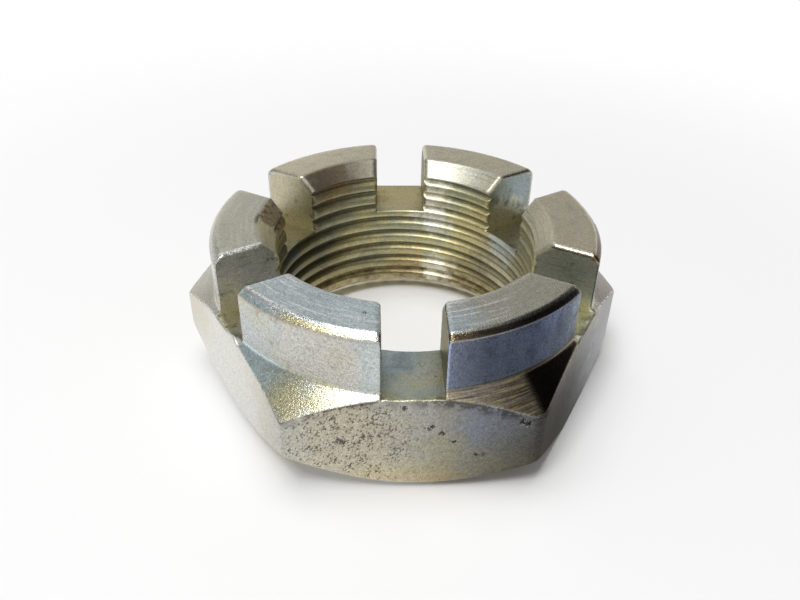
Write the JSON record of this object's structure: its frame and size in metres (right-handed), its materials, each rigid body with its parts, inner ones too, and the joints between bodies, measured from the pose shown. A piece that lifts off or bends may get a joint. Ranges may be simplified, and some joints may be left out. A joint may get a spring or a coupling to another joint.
{
  "type": "castle nut",
  "caption": "Hexagon castle nut with a slotted crown over its chamfered corners, for a fine-thread stud locked by a split pin.",
  "frame": {"origin": "centre of the flat bearing face, on the axis of the thread", "axes": "+Z along the thread axis, from the bearing face towards the slotted crown; +X through a corner of the hexagon, so one flat and its slot face -Y"},
  "size_m": [0.0392, 0.034, 0.0148],
  "materials": {
    "zinc_plated_steel": "zinc electroplate on turned and milled steel, with a thin yellow and blue iridescent passivation film and small pits"
  },
  "bodies": {
    "root": {"castle_nut": "zinc_plated_steel"}
  },
  "joints": []
}
